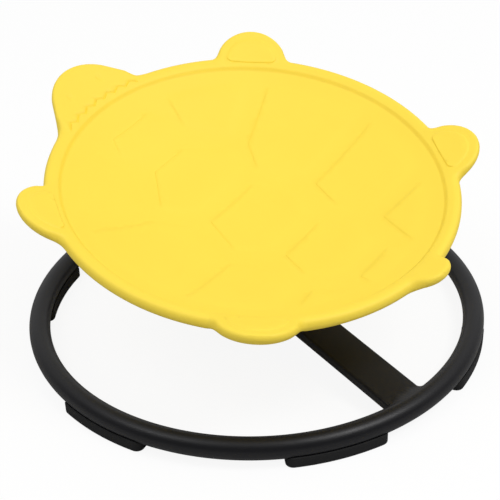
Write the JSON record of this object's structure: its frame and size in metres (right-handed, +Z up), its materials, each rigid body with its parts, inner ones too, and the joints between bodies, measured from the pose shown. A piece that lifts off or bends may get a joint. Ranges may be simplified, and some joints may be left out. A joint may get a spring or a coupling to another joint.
{
  "type": "toddler spinning seat",
  "caption": "Low spinning seat for a toddler: a dished turtle-shaped plastic seat turns on a leaning spindle above a round steel tube base with rubber foot pads.",
  "frame": {"origin": "on the floor under the middle of the base ring", "axes": "+X along the crossbar towards the low side of the seat, +Z up"},
  "size_m": [0.4399, 0.441, 0.2177],
  "materials": {
    "seat_plastic": "satin moulded polypropylene",
    "frame_steel": "satin black powder coat",
    "pad_rubber": "matt moulded rubber",
    "hub_steel": "satin black paint on turned steel",
    "machined_steel": "turned steel",
    "bearing_steel": "ground bearing steel",
    "zinc_steel": "bright zinc plate",
    "cage_plastic": "moulded nylon",
    "seal_rubber": "matt rubber",
    "insert_brass": "turned brass"
  },
  "bodies": {
    "base": {"base_ring": "frame_steel", "crossbar": "frame_steel", "bar_welds": "frame_steel", "boss_plate": "frame_steel", "spindle_boss": "frame_steel", "boss_weld": "frame_steel", "spindle": "machined_steel", "spindle_washer": "zinc_steel", "lock_nut": "zinc_steel", "bearing_spacer": "machined_steel", "upper_bearing_inner": "bearing_steel", "lower_bearing_inner": "bearing_steel", "foot_screws": "zinc_steel", "foot_pad_1": "pad_rubber", "foot_pad_2": "pad_rubber", "foot_pad_3": "pad_rubber", "foot_pad_4": "pad_rubber", "foot_pad_5": "pad_rubber", "foot_pad_6": "pad_rubber"},
    "seat": {"seat_shell": "seat_plastic", "hub": "hub_steel", "dust_seal": "seal_rubber", "seat_bolts": "zinc_steel", "bolt_washers": "zinc_steel", "threaded_inserts": "insert_brass", "upper_bearing_outer": "bearing_steel", "lower_bearing_outer": "bearing_steel", "upper_bearing_shields": "bearing_steel", "lower_bearing_shields": "bearing_steel"},
    "upper_ball_set": {"upper_bearing_balls": "bearing_steel", "upper_bearing_cage": "cage_plastic"},
    "lower_ball_set": {"lower_bearing_balls": "bearing_steel", "lower_bearing_cage": "cage_plastic"}
  },
  "joints": [
    {"name": "seat_spin", "type": "hinge", "parent": "base", "child": "seat", "pos_m": [0.0007, 0.0013, 0.15407], "axis": [0.1866, -0.0581, 0.9807], "continuous": true},
    {"name": "upper_balls_turn", "type": "hinge", "parent": "base", "child": "upper_ball_set", "pos_m": [0.0007, 0.0013, 0.15407], "axis": [0.1866, -0.0581, 0.9807], "continuous": true},
    {"name": "lower_balls_turn", "type": "hinge", "parent": "base", "child": "lower_ball_set", "pos_m": [0.0007, 0.0013, 0.15407], "axis": [0.1866, -0.0581, 0.9807], "continuous": true}
  ],
  "couplings": [
    {"joint": "upper_balls_turn", "follows": "seat_spin", "ratio": 0.618},
    {"joint": "lower_balls_turn", "follows": "seat_spin", "ratio": 0.618}
  ]
}
